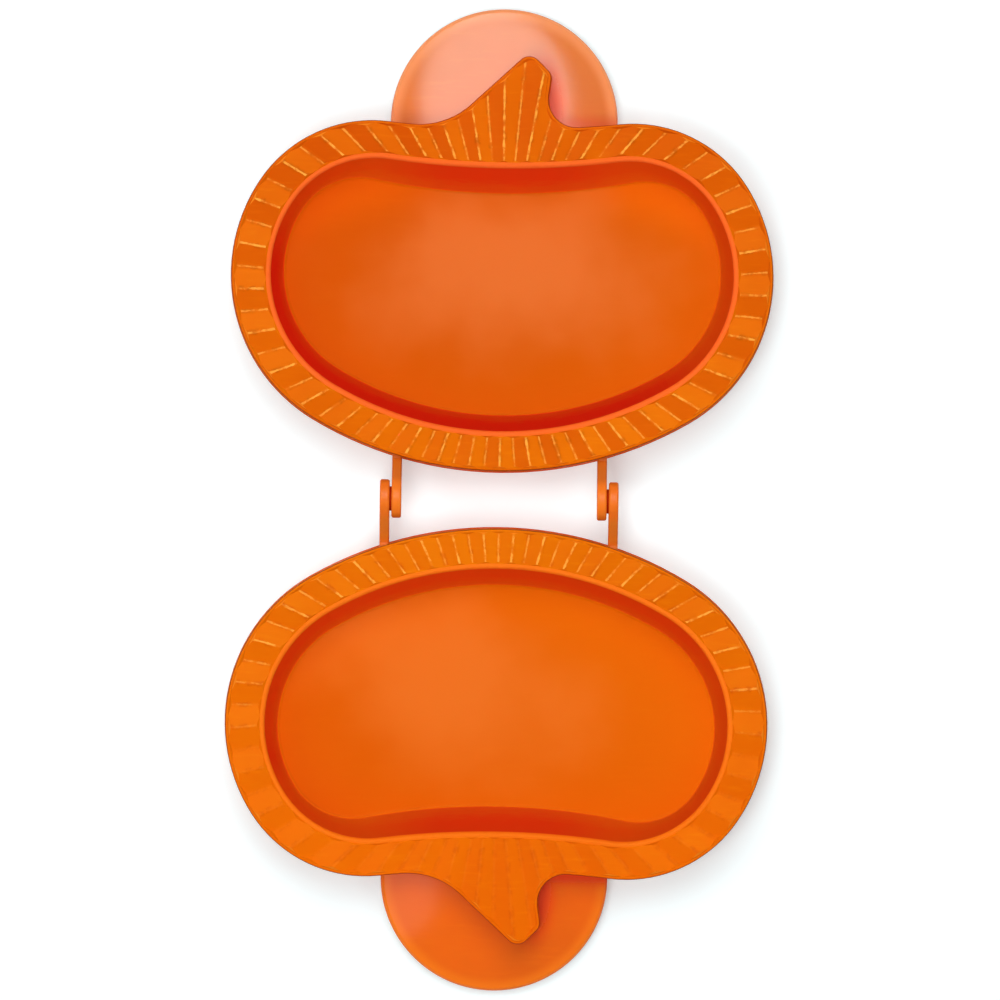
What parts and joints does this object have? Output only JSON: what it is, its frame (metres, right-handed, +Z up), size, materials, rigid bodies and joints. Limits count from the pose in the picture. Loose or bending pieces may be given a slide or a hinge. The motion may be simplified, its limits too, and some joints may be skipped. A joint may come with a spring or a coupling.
{
  "type": "empanada press",
  "caption": "Hinged pumpkin-shaped press for hand pies: two shallow wells with pleated crimping rims, cutter skirts and round grip tabs, lying open flat.",
  "frame": {"origin": "on the table under the middle of the hinge, which is the middle of the open press's footprint", "axes": "+X along the hinge axis, +Y from the base half to the lid half as they lie open, +Z up out of the wells"},
  "size_m": [0.1228, 0.2218, 0.0206],
  "materials": {
    "press_plastic": "satin orange injection moulding",
    "pin_plastic": "satin orange-red"
  },
  "bodies": {
    "base": {"base_crimping_tray": "press_plastic", "base_cutter_skirt": "press_plastic", "base_grip_tab": "press_plastic", "base_hinge_arm_left": "press_plastic", "base_hinge_arm_right": "press_plastic", "hinge_pin_left": "pin_plastic", "hinge_pin_right": "pin_plastic"},
    "lid": {"lid_crimping_tray": "press_plastic", "lid_cutter_skirt": "press_plastic", "lid_grip_tab": "press_plastic", "lid_hinge_arm_left": "press_plastic", "lid_hinge_arm_right": "press_plastic"}
  },
  "joints": [
    {"name": "lid_fold", "type": "hinge", "parent": "base", "child": "lid", "pos_m": [0, 0, 0.01625], "axis": [1, 0, 0], "range_deg": [0, 180]}
  ]
}
